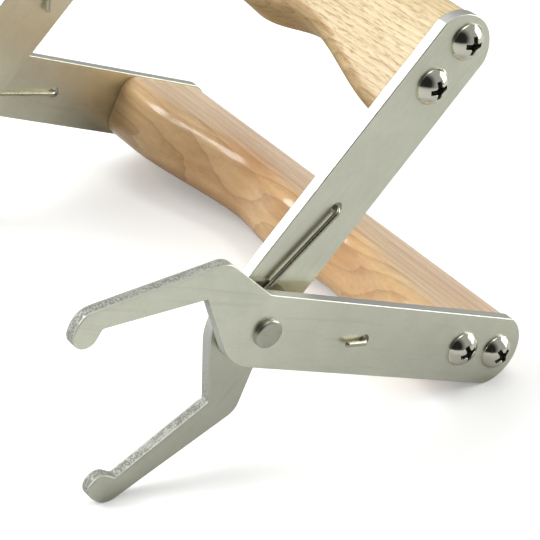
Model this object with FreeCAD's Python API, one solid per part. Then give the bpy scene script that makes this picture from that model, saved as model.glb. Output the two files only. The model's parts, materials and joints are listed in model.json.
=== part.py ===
import FreeCAD, Part
import math
import os

os.makedirs("parts", exist_ok=True)
V = FreeCAD.Vector

# Driving sizes in mm. An arm's own frame has u from the pivot towards the handle
# and v across the arm, positive on the side that faces the other arm.
ARM_THICK = 3.0
ARM_WIDTH = 18.2
ARM_LENGTH = 85.7          # pivot to the rounded end
INNER_SHORTER = 1.3        # inner arms are this much shorter
END_FLATTEN = 0.5          # rounded end's radius above half the arm's width
OPEN_ANGLE = 68.4          # between the two arms of a pair at rest
EDGE_ROUND = 0.25

NECK_START = -3.3          # where the outer edge leaves the straight arm
NECK_RADIUS = 4.0
CORNER_U = -19.1           # outer corner of the jaw
CORNER_RISE = 6.6          # corner above the arm's edge
CORNER_RADIUS = 5.0
INNER_CORNER_U = -20.9
INNER_CORNER_DROP = 2.5    # inner corner below the arm's edge line
INNER_CORNER_RADIUS = 0.8
HEEL_U = -6.5
HEEL_RADIUS = 13.0
KNOB = (-49.9, -4.4)       # rounded tip that hooks the bar
KNOB_RADIUS = 3.25
TIP_RISE = 4.5             # jaw's outer corner above the knob's centre
TIP_RADIUS = 5.0
NOTCH_OFFSET = (0.4, 1.9)  # inner notch, from the knob's inner side
NOTCH_RADIUS = 1.0

HANDLE_LENGTH = 132.0      # lower handle, between the outer arms
HANDLE_DEPTH = 32.5        # lower handle, from its grooved front, facing the pivot, to its back
HANDLE_INSET = 0.5         # back of the wood inside the arm's end
HANDLE_SLIM = 0.4          # how far the wood is inside each arm edge
GROOVE_DEPTH = 8.5
GROOVE_CENTRE = -3.3       # grip pattern's middle, from the middle of the handle
GROOVE_PITCH = 20.0        # from there to the deepest line of each groove
GROOVE_RUNOUT = 37.5
MIDDLE_RISE = 0.57
HANDLE_STATIONS = 24
FRONT_ROUND = 4.5
BACK_FLAT = 0.7            # half of the flat left on the rounded back

RIVET_R = 2.5
RIVET_HEAD_LIP = 1.05      # head's radius above the shank's
RIVET_HEAD_T = 1.5
RUN = 0.05                 # running clearance
BUSH_WALL = 0.7
WASHER_R = 10.0
WASHER_T = 0.4
BACK_WASHER_LIP = 3.0
BACK_WASHER_T = 1.0

WIRE_R = 0.65
COIL_SLACK = 0.55          # between the coil and the bush inside it
COIL_PLAY = 0.05           # beside each turn
SPRING_HOLE_U = 31.2
SPRING_HOLE_SLACK = 0.95
BEND_LIFT = 0.55           # wire's bend above its own radius, and its hooks above the arms
OUTER_HOOK = 6.4           # bent end outside the outer arm
INNER_HOOK = 5.4
INNER_HOOK_TURN = 50.0     # inner hook's direction from its own leg

SCREW_INSET = 7.4          # outer screw from the outer arm's end
SCREW_PITCH = 12.5
SCREW_HEAD_R = 4.5
SCREW_HEAD_H = 3.0
SCREW_RIM = 0.5
SCREW_R = 2.3
SCREW_LENGTH = 22.0
SCREW_HOLE_SLACK = 0.25
RECESS_SPAN = 4.4
RECESS_WIDTH = 1.15
RECESS_DEPTH = 1.9
SCREW_TURNS = {"lower_in": 15, "lower_out": 38, "upper_in": 62, "upper_out": 100}

HALF = ARM_WIDTH / 2
END_RADIUS = HALF + END_FLATTEN
JAW_END = (KNOB[0] - KNOB_RADIUS, KNOB[1] + TIP_RISE)
NOTCH = (KNOB[0] + KNOB_RADIUS + NOTCH_OFFSET[0], KNOB[1] + NOTCH_OFFSET[1])
INNER_LENGTH = ARM_LENGTH - INNER_SHORTER
HANDLE_FRONT = ARM_LENGTH - HANDLE_INSET - HANDLE_DEPTH
HANDLE_HALF = HALF - HANDLE_SLIM
BACK_ROUND = HANDLE_HALF - BACK_FLAT
RIVET_HEAD_R = RIVET_R + RIVET_HEAD_LIP
BUSH_R = RIVET_R + BUSH_WALL
BACK_WASHER_R = RIVET_R + BACK_WASHER_LIP
COIL_R = BUSH_R + COIL_SLACK + WIRE_R
BEND_R = WIRE_R + BEND_LIFT
SPRING_HOLE_R = WIRE_R + SPRING_HOLE_SLACK
SCREW_HOLE_R = SCREW_R + SCREW_HOLE_SLACK
SCREW_OUT = ARM_LENGTH - SCREW_INSET
ARM_GAP = RUN + WASHER_T + 4 * WIRE_R + 3 * COIL_PLAY
WIDTH = HANDLE_LENGTH + 2 * ARM_THICK
INNER_Y = ARM_THICK + ARM_GAP
INNER_BACK_Y = INNER_Y + ARM_THICK
SCREWS_U = {"in": SCREW_OUT - SCREW_PITCH, "out": SCREW_OUT}
Y_AXIS = V(0, 1, 0)


def rounded(points):
    """Edges of an open line of (u, v, radius) points with its inner corners rounded."""
    edges = []
    start = V(points[0][0], 0, points[0][1])
    for i in range(1, len(points) - 1):
        u, v, radius = points[i]
        corner = V(u, 0, v)
        back = V(points[i - 1][0], 0, points[i - 1][1]) - corner
        ahead = V(points[i + 1][0], 0, points[i + 1][1]) - corner
        back.normalize()
        ahead.normalize()
        half = back.getAngle(ahead) / 2
        reach = radius / math.tan(half)
        middle = (back + ahead).normalize()
        first = corner + back * reach
        last = corner + ahead * reach
        top = corner + middle * (radius / math.sin(half) - radius)
        edges.append(Part.makeLine(start, first))
        edges.append(Part.Arc(first, top, last).toShape())
        start = last
    edges.append(Part.makeLine(start, V(points[-1][0], 0, points[-1][1])))
    return edges


def tangent(point, centre, radius, side):
    """Point of a circle where the line from an outside point touches it."""
    away = math.atan2(point[1] - centre[1], point[0] - centre[0])
    reach = math.hypot(point[0] - centre[0], point[1] - centre[1])
    angle = away + side * math.acos(radius / reach)
    return (centre[0] + radius * math.cos(angle), centre[1] + radius * math.sin(angle))


def cylinder(radius, y0, y1, u=0.0, v=0.0):
    return Part.makeCylinder(radius, y1 - y0, V(u, y0, v), Y_AXIS)


def arm_blank(length):
    """One stamped arm in its own frame, its outer face at y = 0."""
    end_u = length - END_RADIUS + math.sqrt(END_RADIUS ** 2 - HALF ** 2)
    tip_a = tangent(JAW_END, KNOB, KNOB_RADIUS, 1)
    tip_b = tangent(NOTCH, KNOB, KNOB_RADIUS, -1)
    outer = rounded([
        (end_u, HALF, 0),
        (NECK_START, HALF, NECK_RADIUS),
        (CORNER_U, HALF + CORNER_RISE, CORNER_RADIUS),
        (JAW_END[0], JAW_END[1], TIP_RADIUS),
        (tip_a[0], tip_a[1], 0),
    ])
    inner = rounded([
        (tip_b[0], tip_b[1], 0),
        (NOTCH[0], NOTCH[1], NOTCH_RADIUS),
        (INNER_CORNER_U, HALF - INNER_CORNER_DROP, INNER_CORNER_RADIUS),
        (HEEL_U, -HALF, HEEL_RADIUS),
        (end_u, -HALF, 0),
    ])
    knob = Part.Arc(V(tip_a[0], 0, tip_a[1]), V(KNOB[0], 0, KNOB[1] - KNOB_RADIUS),
                    V(tip_b[0], 0, tip_b[1])).toShape()
    end = Part.Arc(V(end_u, 0, -HALF), V(length, 0, 0), V(end_u, 0, HALF)).toShape()
    face = Part.Face(Part.Wire(outer + [knob] + inner + [end]))
    plate = face.extrude(V(0, ARM_THICK, 0))
    rims = []
    for edge in plate.Edges:
        box = edge.BoundBox
        if box.YLength < 1e-6:
            rims.append(edge)
    return plate.makeFillet(EDGE_ROUND, rims)


def arm(length, pivot_r):
    plate = arm_blank(length)
    plate = plate.cut(cylinder(pivot_r, -1, ARM_THICK + 1))
    plate = plate.cut(cylinder(SPRING_HOLE_R, -1, ARM_THICK + 1, SPRING_HOLE_U))
    for u in SCREWS_U.values():
        plate = plate.cut(cylinder(SCREW_HOLE_R, -1, ARM_THICK + 1, u))
    return plate


def handle_section(y, front, back):
    """Rounded section of the grip at one station along it."""
    half = HANDLE_HALF
    corners = [
        (front, -half, FRONT_ROUND),
        (back, -half, BACK_ROUND),
        (back, half, BACK_ROUND),
        (front, half, FRONT_ROUND),
    ]
    edges = rounded([(front, 0, 0)] + corners + [(front, 0, 0)])
    wire = Part.Wire(edges)
    wire.translate(V(0, y, 0))
    return wire


def groove_share(offset):
    """Share of the full groove depth at a distance from the grip pattern's middle."""
    away = abs(offset)
    if away < GROOVE_PITCH:
        step = away / GROOVE_PITCH
        return MIDDLE_RISE + (1 - MIDDLE_RISE) * step * step * (3 - 2 * step)
    step = min(1.0, (away - GROOVE_PITCH) / GROOVE_RUNOUT)
    return 1 - step * step * (3 - 2 * step)


def handle(length, arm_length):
    """Grip in the arm's frame, centred on y = 0, its front side with two grooves."""
    end = length / 2
    sections = []
    for i in range(HANDLE_STATIONS + 1):
        y = -end + length * i / HANDLE_STATIONS
        depth = GROOVE_DEPTH * groove_share(y - GROOVE_CENTRE)
        sections.append(handle_section(y, HANDLE_FRONT + depth, arm_length - HANDLE_INSET))
    block = Part.makeLoft(sections, True, False)
    for side in (-1, 1):
        for u in SCREWS_U.values():
            hole = screw_shank(u, end - SCREW_LENGTH + ARM_THICK, end + 1)
            if side < 0:
                hole = hole.mirror(V(0, 0, 0), Y_AXIS)
            block = block.cut(hole)
    return block


def screw_shank(u, y_tip, y_end):
    """Round shank along y with its cone tip at y_tip."""
    cone = 4.0
    outline = Part.makePolygon([
        V(u, y_tip, 0),
        V(u + SCREW_R, y_tip + cone, 0),
        V(u + SCREW_R, y_end, 0),
        V(u, y_end, 0),
        V(u, y_tip, 0),
    ])
    return Part.Face(outline).revolve(V(u, 0, 0), Y_AXIS, 360)


def screw(u, turn):
    """Pan-head screw in the arm's frame, its head on the face at y = 0."""
    radius = (SCREW_HEAD_R ** 2 + (SCREW_HEAD_H - SCREW_RIM) ** 2) / (2 * (SCREW_HEAD_H - SCREW_RIM))
    centre_y = -SCREW_HEAD_H + radius
    lean = math.asin(SCREW_HEAD_R / radius) / 2
    rim = V(u + SCREW_HEAD_R, -SCREW_RIM, 0)
    middle = V(u + radius * math.sin(lean), centre_y - radius * math.cos(lean), 0)
    apex = V(u, -SCREW_HEAD_H, 0)
    outline = Part.Wire([
        Part.makeLine(V(u, 0, 0), V(u + SCREW_HEAD_R, 0, 0)),
        Part.makeLine(V(u + SCREW_HEAD_R, 0, 0), rim),
        Part.Arc(rim, middle, apex).toShape(),
        Part.makeLine(apex, V(u, 0, 0)),
    ])
    head = Part.Face(outline).revolve(V(u, 0, 0), Y_AXIS, 360)
    for angle in (turn, turn + 90):
        wing = Part.makePolygon([
            V(-RECESS_SPAN / 2, -SCREW_HEAD_H - 0.5, 0),
            V(RECESS_SPAN / 2, -SCREW_HEAD_H - 0.5, 0),
            V(RECESS_SPAN / 2, -SCREW_HEAD_H + 0.35, 0),
            V(RECESS_SPAN / 5, -SCREW_HEAD_H + RECESS_DEPTH, 0),
            V(-RECESS_SPAN / 5, -SCREW_HEAD_H + RECESS_DEPTH, 0),
            V(-RECESS_SPAN / 2, -SCREW_HEAD_H + 0.35, 0),
            V(-RECESS_SPAN / 2, -SCREW_HEAD_H - 0.5, 0),
        ])
        slot = Part.Face(wing).extrude(V(0, 0, RECESS_WIDTH))
        slot.translate(V(0, 0, -RECESS_WIDTH / 2))
        slot.rotate(V(0, 0, 0), Y_AXIS, angle)
        slot.translate(V(u, 0, 0))
        head = head.cut(slot)
    shank = screw_shank(u, -SCREW_LENGTH, 0)
    shank = shank.mirror(V(0, 0, 0), Y_AXIS)
    return head.fuse(shank).removeSplitter()


def rivet():
    """Pivot rivet with both heads, its outer head on the face at y = 0."""
    y_tail = INNER_BACK_Y + RUN + BACK_WASHER_T
    edge_t = 0.55 * RIVET_HEAD_T
    flat_r = 0.62 * RIVET_HEAD_R
    mid_r = 0.88 * RIVET_HEAD_R
    mid_t = 0.9 * RIVET_HEAD_T
    outline = Part.Wire([
        Part.makeLine(V(0, -RIVET_HEAD_T, 0), V(flat_r, -RIVET_HEAD_T, 0)),
        Part.Arc(V(flat_r, -RIVET_HEAD_T, 0), V(mid_r, -mid_t, 0), V(RIVET_HEAD_R, -edge_t, 0)).toShape(),
        Part.makeLine(V(RIVET_HEAD_R, -edge_t, 0), V(RIVET_HEAD_R, 0, 0)),
        Part.makeLine(V(RIVET_HEAD_R, 0, 0), V(RIVET_R, 0, 0)),
        Part.makeLine(V(RIVET_R, 0, 0), V(RIVET_R, y_tail, 0)),
        Part.makeLine(V(RIVET_R, y_tail, 0), V(RIVET_HEAD_R, y_tail, 0)),
        Part.makeLine(V(RIVET_HEAD_R, y_tail, 0), V(RIVET_HEAD_R, y_tail + edge_t, 0)),
        Part.Arc(V(RIVET_HEAD_R, y_tail + edge_t, 0), V(mid_r, y_tail + mid_t, 0),
                 V(flat_r, y_tail + RIVET_HEAD_T, 0)).toShape(),
        Part.makeLine(V(flat_r, y_tail + RIVET_HEAD_T, 0), V(0, y_tail + RIVET_HEAD_T, 0)),
        Part.makeLine(V(0, y_tail + RIVET_HEAD_T, 0), V(0, -RIVET_HEAD_T, 0)),
    ])
    return Part.Face(outline).revolve(V(0, 0, 0), Y_AXIS, 360)


def ring(radius, y0, y1):
    return cylinder(radius, y0, y1).cut(cylinder(RIVET_R, y0 - 1, y1 + 1))


def polar(radius, angle, y):
    return V(radius * math.cos(angle), y, radius * math.sin(angle))


def bend(corner, before, after):
    """Arc that turns a wire at a corner from one direction to another."""
    first = corner - before * BEND_R
    last = corner + after * BEND_R
    centre = first + after * BEND_R
    top = centre + (corner - centre).normalize() * BEND_R
    return first, Part.Arc(first, top, last).toShape(), last


def spring(angle_a, angle_b):
    """Torsion spring about the pivot, its ends through the holes of both arms."""
    y_a = ARM_THICK + COIL_PLAY + WIRE_R
    y_b = INNER_Y - RUN - WASHER_T - COIL_PLAY - WIRE_R
    lead = math.acos(COIL_R / SPRING_HOLE_U)
    start = angle_b + lead
    stop = angle_a - lead + 4 * math.pi
    single = stop - start - 2 * math.pi
    coil = []
    count = 40
    for i in range(count + 1):
        angle = start + (stop - start) * i / count
        share = (angle - start - single) / (2 * math.pi - single)
        share = min(1.0, max(0.0, share))
        share = share * share * (3 - 2 * share)
        coil.append(polar(COIL_R, angle, y_b + (y_a - y_b) * share))
    hole_a = polar(SPRING_HOLE_U, angle_a, y_a)
    hole_b = polar(SPRING_HOLE_U, angle_b, y_b)
    leg_a = (hole_a - coil[-1]).normalize()
    leg_b = (hole_b - coil[0]).normalize()
    turns = Part.BSplineCurve()
    turns.interpolate(Points=coil)
    inward = V(0, 1, 0)
    outward = V(0, -1, 0)
    # outer arm's end: out through the hole, then back along the leg
    a1, arc_a1, a2 = bend(hole_a, leg_a, outward)
    corner_a = V(hole_a.x, -WIRE_R - BEND_LIFT, hole_a.z)
    a3, arc_a2, a4 = bend(corner_a, outward, -leg_a)
    a5 = corner_a - leg_a * OUTER_HOOK
    # inner arm's end: in through the hole, then turned to one side
    b1, arc_b1, b2 = bend(hole_b, leg_b, inward)
    corner_b = V(hole_b.x, INNER_BACK_Y + WIRE_R + BEND_LIFT, hole_b.z)
    hook = FreeCAD.Rotation(Y_AXIS, -INNER_HOOK_TURN).multVec(-leg_b)
    b3, arc_b2, b4 = bend(corner_b, inward, hook)
    b5 = corner_b + hook * INNER_HOOK
    path = Part.Wire([
        Part.makeLine(b5, b4),
        arc_b2,
        Part.makeLine(b3, b2),
        arc_b1,
        Part.makeLine(b1, coil[0]),
        turns.toShape(),
        Part.makeLine(coil[-1], a1),
        arc_a1,
        Part.makeLine(a2, a3),
        arc_a2,
        Part.makeLine(a4, a5),
    ])
    section = Part.Wire([Part.makeCircle(WIRE_R, b5, hook)])
    return path.makePipeShell([section], True, False)


def lowest(shape, turn):
    copy = shape.copy()
    copy.rotate(V(0, 0, 0), Y_AXIS, -turn)
    return copy.optimalBoundingBox().ZMin


def tilt_on_floor(plate):
    """Tilt in degrees at which the lower arm's end and the upper arm's jaw touch one level."""
    flipped = plate.mirror(V(0, 0, 0), V(0, 0, 1))
    low, high = 0.0, 30.0
    for _ in range(24):
        turn = (low + high) / 2
        gap = lowest(plate, turn - OPEN_ANGLE / 2) - lowest(flipped, turn + OPEN_ANGLE / 2)
        if gap < 0:
            low = turn
        else:
            high = turn
    return (low + high) / 2


outer_arm = arm(ARM_LENGTH, RIVET_R)
inner_arm = arm(INNER_LENGTH, RIVET_R + RUN)
tilt = tilt_on_floor(outer_arm)
lower_angle = tilt - OPEN_ANGLE / 2
upper_angle = tilt + OPEN_ANGLE / 2


def as_lower(shape):
    copy = shape.copy()
    copy.rotate(V(0, 0, 0), Y_AXIS, -lower_angle)
    return copy


def as_upper(shape):
    copy = shape.mirror(V(0, 0, 0), V(0, 0, 1))
    copy.rotate(V(0, 0, 0), Y_AXIS, -upper_angle)
    return copy


near = {}
near["outer_arm"] = as_lower(outer_arm)
near["inner_arm"] = as_upper(inner_arm)
near["inner_arm"].translate(V(0, INNER_Y, 0))
near["pivot_rivet"] = rivet()
near["spacer_bush"] = ring(BUSH_R, ARM_THICK, INNER_Y - RUN - WASHER_T)
near["spacer_washer"] = ring(WASHER_R, INNER_Y - RUN - WASHER_T, INNER_Y - RUN)
near["back_washer"] = ring(BACK_WASHER_R, INNER_BACK_Y + RUN, INNER_BACK_Y + RUN + BACK_WASHER_T)
near["torsion_spring"] = spring(math.radians(lower_angle), math.radians(upper_angle))
for place, u in SCREWS_U.items():
    near["lower_screw_" + place] = as_lower(screw(u, SCREW_TURNS["lower_" + place]))
    upper = as_upper(screw(u, SCREW_TURNS["upper_" + place]))
    upper.translate(V(0, INNER_Y, 0))
    near["upper_screw_" + place] = upper

nodes = {}
for name, shape in near.items():
    shape.translate(V(0, -WIDTH / 2, 0))
    nodes["near_" + name] = shape
    nodes["far_" + name] = shape.mirror(V(0, 0, 0), Y_AXIS)
nodes["lower_handle"] = as_lower(handle(HANDLE_LENGTH, ARM_LENGTH))
nodes["upper_handle"] = as_upper(handle(HANDLE_LENGTH - 2 * INNER_Y, INNER_LENGTH))

box = None
for shape in nodes.values():
    bounds = shape.optimalBoundingBox()
    if box is None:
        box = bounds
    else:
        box.add(bounds)
shift = V(-(box.XMin + box.XMax) / 2, 0, -box.ZMin)
for name, shape in sorted(nodes.items()):
    shape.translate(shift)
    if not shape.isValid() or len(shape.Solids) != 1:
        raise ValueError(name + " is not one valid solid")
    shape.exportStep("parts/" + name + ".step")
print("tilt %.3f  pivot x %.3f z %.3f  box %.2f x %.2f x %.2f" % (
    tilt, shift.x, shift.z, box.XLength, box.YLength, box.ZLength))
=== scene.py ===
import json
import math

import bpy
import numpy as np
from bpy.props import FloatProperty, FloatVectorProperty, PointerProperty
from mathutils import Matrix, Vector

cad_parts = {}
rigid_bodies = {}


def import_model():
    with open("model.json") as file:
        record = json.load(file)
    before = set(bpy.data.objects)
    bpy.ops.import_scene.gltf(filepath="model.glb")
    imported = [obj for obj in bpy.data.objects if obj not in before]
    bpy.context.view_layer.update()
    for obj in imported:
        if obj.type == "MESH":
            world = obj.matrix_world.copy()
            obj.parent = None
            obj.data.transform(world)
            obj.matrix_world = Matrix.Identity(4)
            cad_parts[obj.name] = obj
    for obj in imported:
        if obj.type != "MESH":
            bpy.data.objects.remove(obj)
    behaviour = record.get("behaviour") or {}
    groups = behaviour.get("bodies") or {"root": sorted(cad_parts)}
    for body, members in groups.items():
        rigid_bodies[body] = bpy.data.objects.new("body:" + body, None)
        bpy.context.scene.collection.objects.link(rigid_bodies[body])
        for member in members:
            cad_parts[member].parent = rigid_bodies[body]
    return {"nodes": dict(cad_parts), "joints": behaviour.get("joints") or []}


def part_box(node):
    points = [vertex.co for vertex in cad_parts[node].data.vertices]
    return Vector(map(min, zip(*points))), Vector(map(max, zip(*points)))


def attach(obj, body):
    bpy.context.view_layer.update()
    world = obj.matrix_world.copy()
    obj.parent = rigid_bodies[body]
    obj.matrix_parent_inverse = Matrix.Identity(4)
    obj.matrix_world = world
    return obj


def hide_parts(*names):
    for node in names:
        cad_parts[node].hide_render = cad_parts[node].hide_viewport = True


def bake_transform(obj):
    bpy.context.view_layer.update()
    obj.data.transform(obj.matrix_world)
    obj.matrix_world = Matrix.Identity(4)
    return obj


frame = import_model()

bl_info = {
    "name": "Frame grip",
    "version": (1, 0, 0),
    "blender": (4, 5, 0),
    "location": "View3D > Sidebar > Frame grip",
    "description": "Looks of a hive frame grip: sheet steel arms, wooden grips, screws, rivets and springs",
    "category": "Object",
}

NODES = frame["nodes"]
HINGE = frame["joints"][0]
PIVOT = np.array(HINGE["pos_m"])
LOWER, UPPER = HINGE["parent"], HINGE["child"]
SIDES = {"near": 1.0, "far": -1.0}
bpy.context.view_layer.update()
MM = 0.001

# Each kind of arm's body, and the painted shade that darkens its faces at the jaw and at the far end against
# its middle.
ARM_BODIES_AND_SHADES = {"outer_arm": (LOWER, 1.0, 0.95), "inner_arm": (UPPER, 0.76, 0.93)}
STEEL_BUMP = 0.00002
WOOD_BUMP = 0.00006
PLATING_BUMP = 0.000012

# Each grip's finish: painted shade on its grooved front (a multiply tint), place in the log, ring width, and
# shares of the patterns.
GRIP_FINISHES = {
    "lower": {"front_shade": (0.97, 0.90, 0.80), "shift": (0.030, 0.0, 0.045), "ring": 0.0034,
              "pores": 0.35, "mottle": 0.42, "gloss": 0.30, "coat": 0.70},
    "upper": {"front_shade": (0.60, 0.50, 0.34), "shift": (0.015, 0.02, -0.060), "ring": 0.0014,
              "pores": 1.0, "mottle": 0.15, "gloss": 0.46, "coat": 0.15},
}

# Angle of each screw's cross, and how much further the far side's screws are turned.
SCREW_TURNS = {"lower_in": 0.30, "lower_out": 0.55, "upper_in": 0.12, "upper_out": -0.10}
FAR_TURN = 0.4
RECESS_WALL = 0.00016
DENT_DEPTH = 0.00016
SPRING_PLAY = 0.00005


def middle(node):
    """Centre of a node's box as an array."""
    low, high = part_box(node)
    return (np.array(low) + np.array(high)) / 2


def arm_direction(node):
    """Unit vector in X and Z from the pivot to a screw: the line that an arm follows."""
    way = middle(node) - PIVOT
    way[1] = 0
    return way / np.linalg.norm(way)


LOWER_WAY = arm_direction("near_lower_screw_out")
UPPER_WAY = arm_direction("near_upper_screw_out")
ACROSS = np.array([0.0, 1.0, 0.0])


def facing(way, towards):
    """Unit vector square to an arm, in X and Z, on the side of another arm."""
    side = towards - way * np.dot(towards, way)
    return side / np.linalg.norm(side)


LOWER_SIDE = facing(LOWER_WAY, UPPER_WAY)
UPPER_SIDE = facing(UPPER_WAY, LOWER_WAY)


# ---------------------------------------------------------------- settings

def length(name, text, default):
    return FloatProperty(name=name, description=text, default=default, unit="LENGTH", precision=5)


def share(name, text, default):
    return FloatProperty(name=name, description=text, default=default, subtype="FACTOR", min=0.0, max=1.0)


def colour(name, text, default):
    return FloatVectorProperty(name=name, description=text, default=default, size=3, min=0.0, max=1.0,
                               subtype="COLOR")


class FrameGripSteel(bpy.types.PropertyGroup):
    """Finish of the arms and of the pivot parts."""
    sheet: colour("Sheet", "Colour of the arms' faces", (0.86, 0.87, 0.73))
    rim: colour("Rim", "Colour of the arms' sheared edges", (0.56, 0.57, 0.53))
    # The torn colour also paints the thin line of painted shade beside each face.
    torn: colour("Torn edge", "Dark side of the torn grain on the jaws' edges", (0.30, 0.31, 0.26))
    rivet: colour("Rivet", "Colour of rivets, bushes and washers", (0.54, 0.54, 0.45))
    roughness: share("Roughness", "Roughness of the sheet", 0.34)


class FrameGripWood(bpy.types.PropertyGroup):
    """Sizes and finish of the two wooden grips."""
    front: length("Front", "Pivot to the grooved front", 0.0527)
    back: length("Back", "Pivot to the lower grip's rounded back", 0.0852)
    upper_back: length("Upper back", "Pivot to the upper grip's rounded back", 0.0839)
    half: length("Half thickness", "Half of the grip's thickness", 0.0087)
    front_round: length("Front round", "Radius of the front's corners", 0.0045)
    back_round: length("Back round", "Radius of the back's corners", 0.0080)
    groove: length("Groove depth", "Depth of the two finger grooves", 0.0085)
    centre: length("Groove centre", "Middle of the groove pattern along the grip", -0.0033)
    pitch: length("Groove pitch", "From the pattern's middle to each groove", 0.0200)
    runout: length("Groove run-out", "From a groove to the full width", 0.0375)
    rise: share("Middle rise", "Groove depth left at the pattern's middle", 0.57)
    eased: length("Eased edge", "Inset of the grip's end edges", 0.0003)
    upper_pale: colour("Upper pale", "Early wood of the upper grip", (0.83, 0.69, 0.42))
    upper_dark: colour("Upper dark", "Late wood of the upper grip", (0.42, 0.24, 0.09))
    lower_pale: colour("Lower pale", "Early wood of the lower grip", (0.80, 0.58, 0.33))
    lower_dark: colour("Lower dark", "Late wood of the lower grip", (0.36, 0.19, 0.075))


class FrameGripScrew(bpy.types.PropertyGroup):
    """Pan-head screws with a cross recess."""
    head: length("Head radius", "Radius of the head", 0.0045)
    height: length("Head height", "Height of the head", 0.0030)
    rim: length("Rim", "Straight rim below the dome", 0.0005)
    shank: length("Shank radius", "Radius of the shank", 0.0023)
    reach: length("Length", "Length below the head", 0.0220)
    span: length("Recess span", "Tip to tip of the cross", 0.0044)
    slot: length("Recess slot", "Width of the cross's arms", 0.0011)
    depth: length("Recess depth", "Depth of the cross", 0.0019)
    plate: colour("Plating", "Colour of the bright plating", (0.74, 0.73, 0.62))


class FrameGripPivot(bpy.types.PropertyGroup):
    """Rivets of the two pivots."""
    head: length("Head radius", "Radius of the rivet's heads", 0.00355)
    height: length("Head height", "Height of each head", 0.0015)
    shank: length("Shank radius", "Radius of the rivet's shank", 0.0025)


class FrameGripSpring(bpy.types.PropertyGroup):
    """Torsion springs of the two pivots."""
    wire: length("Wire radius", "Radius of the wire", 0.00065)
    coil: length("Coil radius", "Pivot to the middle of the wire", 0.0044)
    hole: length("Hole", "Pivot to the hole in each arm", 0.0312)
    bend: length("Bend", "Radius of the wire's bends", 0.0012)
    outer_hook: length("Outer hook", "Bent end outside the outer arm", 0.0064)
    inner_hook: length("Inner hook", "Bent end inside the inner arm", 0.0054)
    turn: FloatProperty(name="Hook turn", description="Inner hook's direction from its leg",
                        default=math.radians(50), subtype="ANGLE")
    steel: colour("Wire", "Colour of the drawn wire", (0.55, 0.52, 0.40))


class FrameGripStage(bpy.types.PropertyGroup):
    """Floor, lights and camera."""
    floor: colour("Floor", "Colour of the floor", (0.92, 0.92, 0.91))
    bounce: share("Bounce", "Floor's brightness as the object sees it", 0.66)
    glow: share("Glow", "Floor's own light as the camera sees it", 0.30)
    world: FloatProperty(name="Sky", description="Strength of the plain surroundings", default=0.42)
    lens: FloatProperty(name="Lens", description="Focal length in mm on a 36 mm sensor", default=157.2)
    azimuth: FloatProperty(name="Azimuth", description="Camera's direction round the object",
                           default=math.radians(-39.416), subtype="ANGLE")
    elevation: FloatProperty(name="Elevation", description="Camera's height angle",
                             default=math.radians(31.926), subtype="ANGLE")
    roll: FloatProperty(name="Roll", description="Camera's turn about its own line",
                        default=math.radians(5.971), subtype="ANGLE")
    place: FloatVectorProperty(name="Place", description="Camera's position", size=3,
                               default=(-0.29166, -0.40508, 0.32553), subtype="XYZ", unit="LENGTH")


# ---------------------------------------------------------------- meshes

def solid_from_rings(name, rings):
    """Closed mesh from an array (rings, points, 3). Each end is closed by a fan to the ring's mean point."""
    count, around, _ = rings.shape
    ends = np.stack([rings[0].mean(0), rings[-1].mean(0)])
    points = np.concatenate([rings.reshape(-1, 3), ends])
    i, j = np.meshgrid(np.arange(count - 1), np.arange(around), indexing="ij")
    k = (j + 1) % around
    quads = np.stack([i * around + j, i * around + k, (i + 1) * around + k, (i + 1) * around + j], -1)
    step = np.arange(around)
    after = (step + 1) % around
    first = np.full(around, count * around)
    base = (count - 1) * around
    cap_a = np.stack([first, after, step], -1)
    cap_b = np.stack([first + 1, base + step, base + after], -1)
    faces = quads.reshape(-1, 4).tolist() + np.concatenate([cap_a, cap_b]).tolist()
    mesh = bpy.data.meshes.new(name)
    mesh.from_pydata(points.tolist(), [], faces)
    if signed_volume(rings, ends) < 0:
        mesh.flip_normals()
    mesh.polygons.foreach_set("use_smooth", np.ones(len(mesh.polygons), bool))
    mesh.update()
    piece = bpy.data.objects.new(name, mesh)
    bpy.context.scene.collection.objects.link(piece)
    return piece


def signed_volume(rings, ends):
    """Volume enclosed by the rings and their two fans: the sum of the tetrahedra to the first end point."""
    middle_point = ends[0]
    a = rings[:-1] - middle_point
    b = np.roll(rings, -1, axis=1)[:-1] - middle_point
    c = np.roll(rings, -1, axis=1)[1:] - middle_point
    d = rings[1:] - middle_point
    total = np.sum(np.cross(a, b) * c) + np.sum(np.cross(a, c) * d)
    e = rings[-1] - middle_point
    f = np.roll(rings[-1], -1, axis=0) - middle_point
    total += np.sum(np.cross(ends[1] - middle_point, e) * f)
    return total


def add_mask(piece, name, values):
    """Stores one value per vertex, with zeros for the two end points."""
    layer = piece.data.attributes.new(name, "FLOAT", "POINT")
    full = np.zeros(len(piece.data.vertices), np.float32)
    full[:values.size] = values.ravel()
    layer.data.foreach_set("value", full)


def sharp_by_angle(piece, degrees):
    """Keeps edges sharper than an angle crisp under smooth shading."""
    piece.data.set_sharp_from_angle(angle=math.radians(degrees))


def smoothstep(t):
    t = np.clip(t, 0.0, 1.0)
    return t * t * (3 - 2 * t)


# ---------------------------------------------------------------- node helpers

def put(tree, kind, links=None, **settings):
    """Adds a shader node. links gives each input a value or a socket to join."""
    node = tree.nodes.new(kind)
    for key, value in settings.items():
        setattr(node, key, value)
    for key, value in (links or {}).items():
        socket = node.inputs[key]
        if isinstance(value, bpy.types.NodeSocket):
            tree.links.new(value, socket)
        else:
            socket.default_value = value
    return node


def math_node(tree, operation, a, b=0.0, clamp=False):
    return put(tree, "ShaderNodeMath", {0: a, 1: b}, operation=operation, use_clamp=clamp).outputs[0]


def span(tree, value, low, high, out_low=0.0, out_high=1.0):
    """Maps low..high to out_low..out_high, held at its ends."""
    return put(tree, "ShaderNodeMapRange", {"Value": value, "From Min": low, "From Max": high,
                                            "To Min": out_low, "To Max": out_high}).outputs[0]


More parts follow.
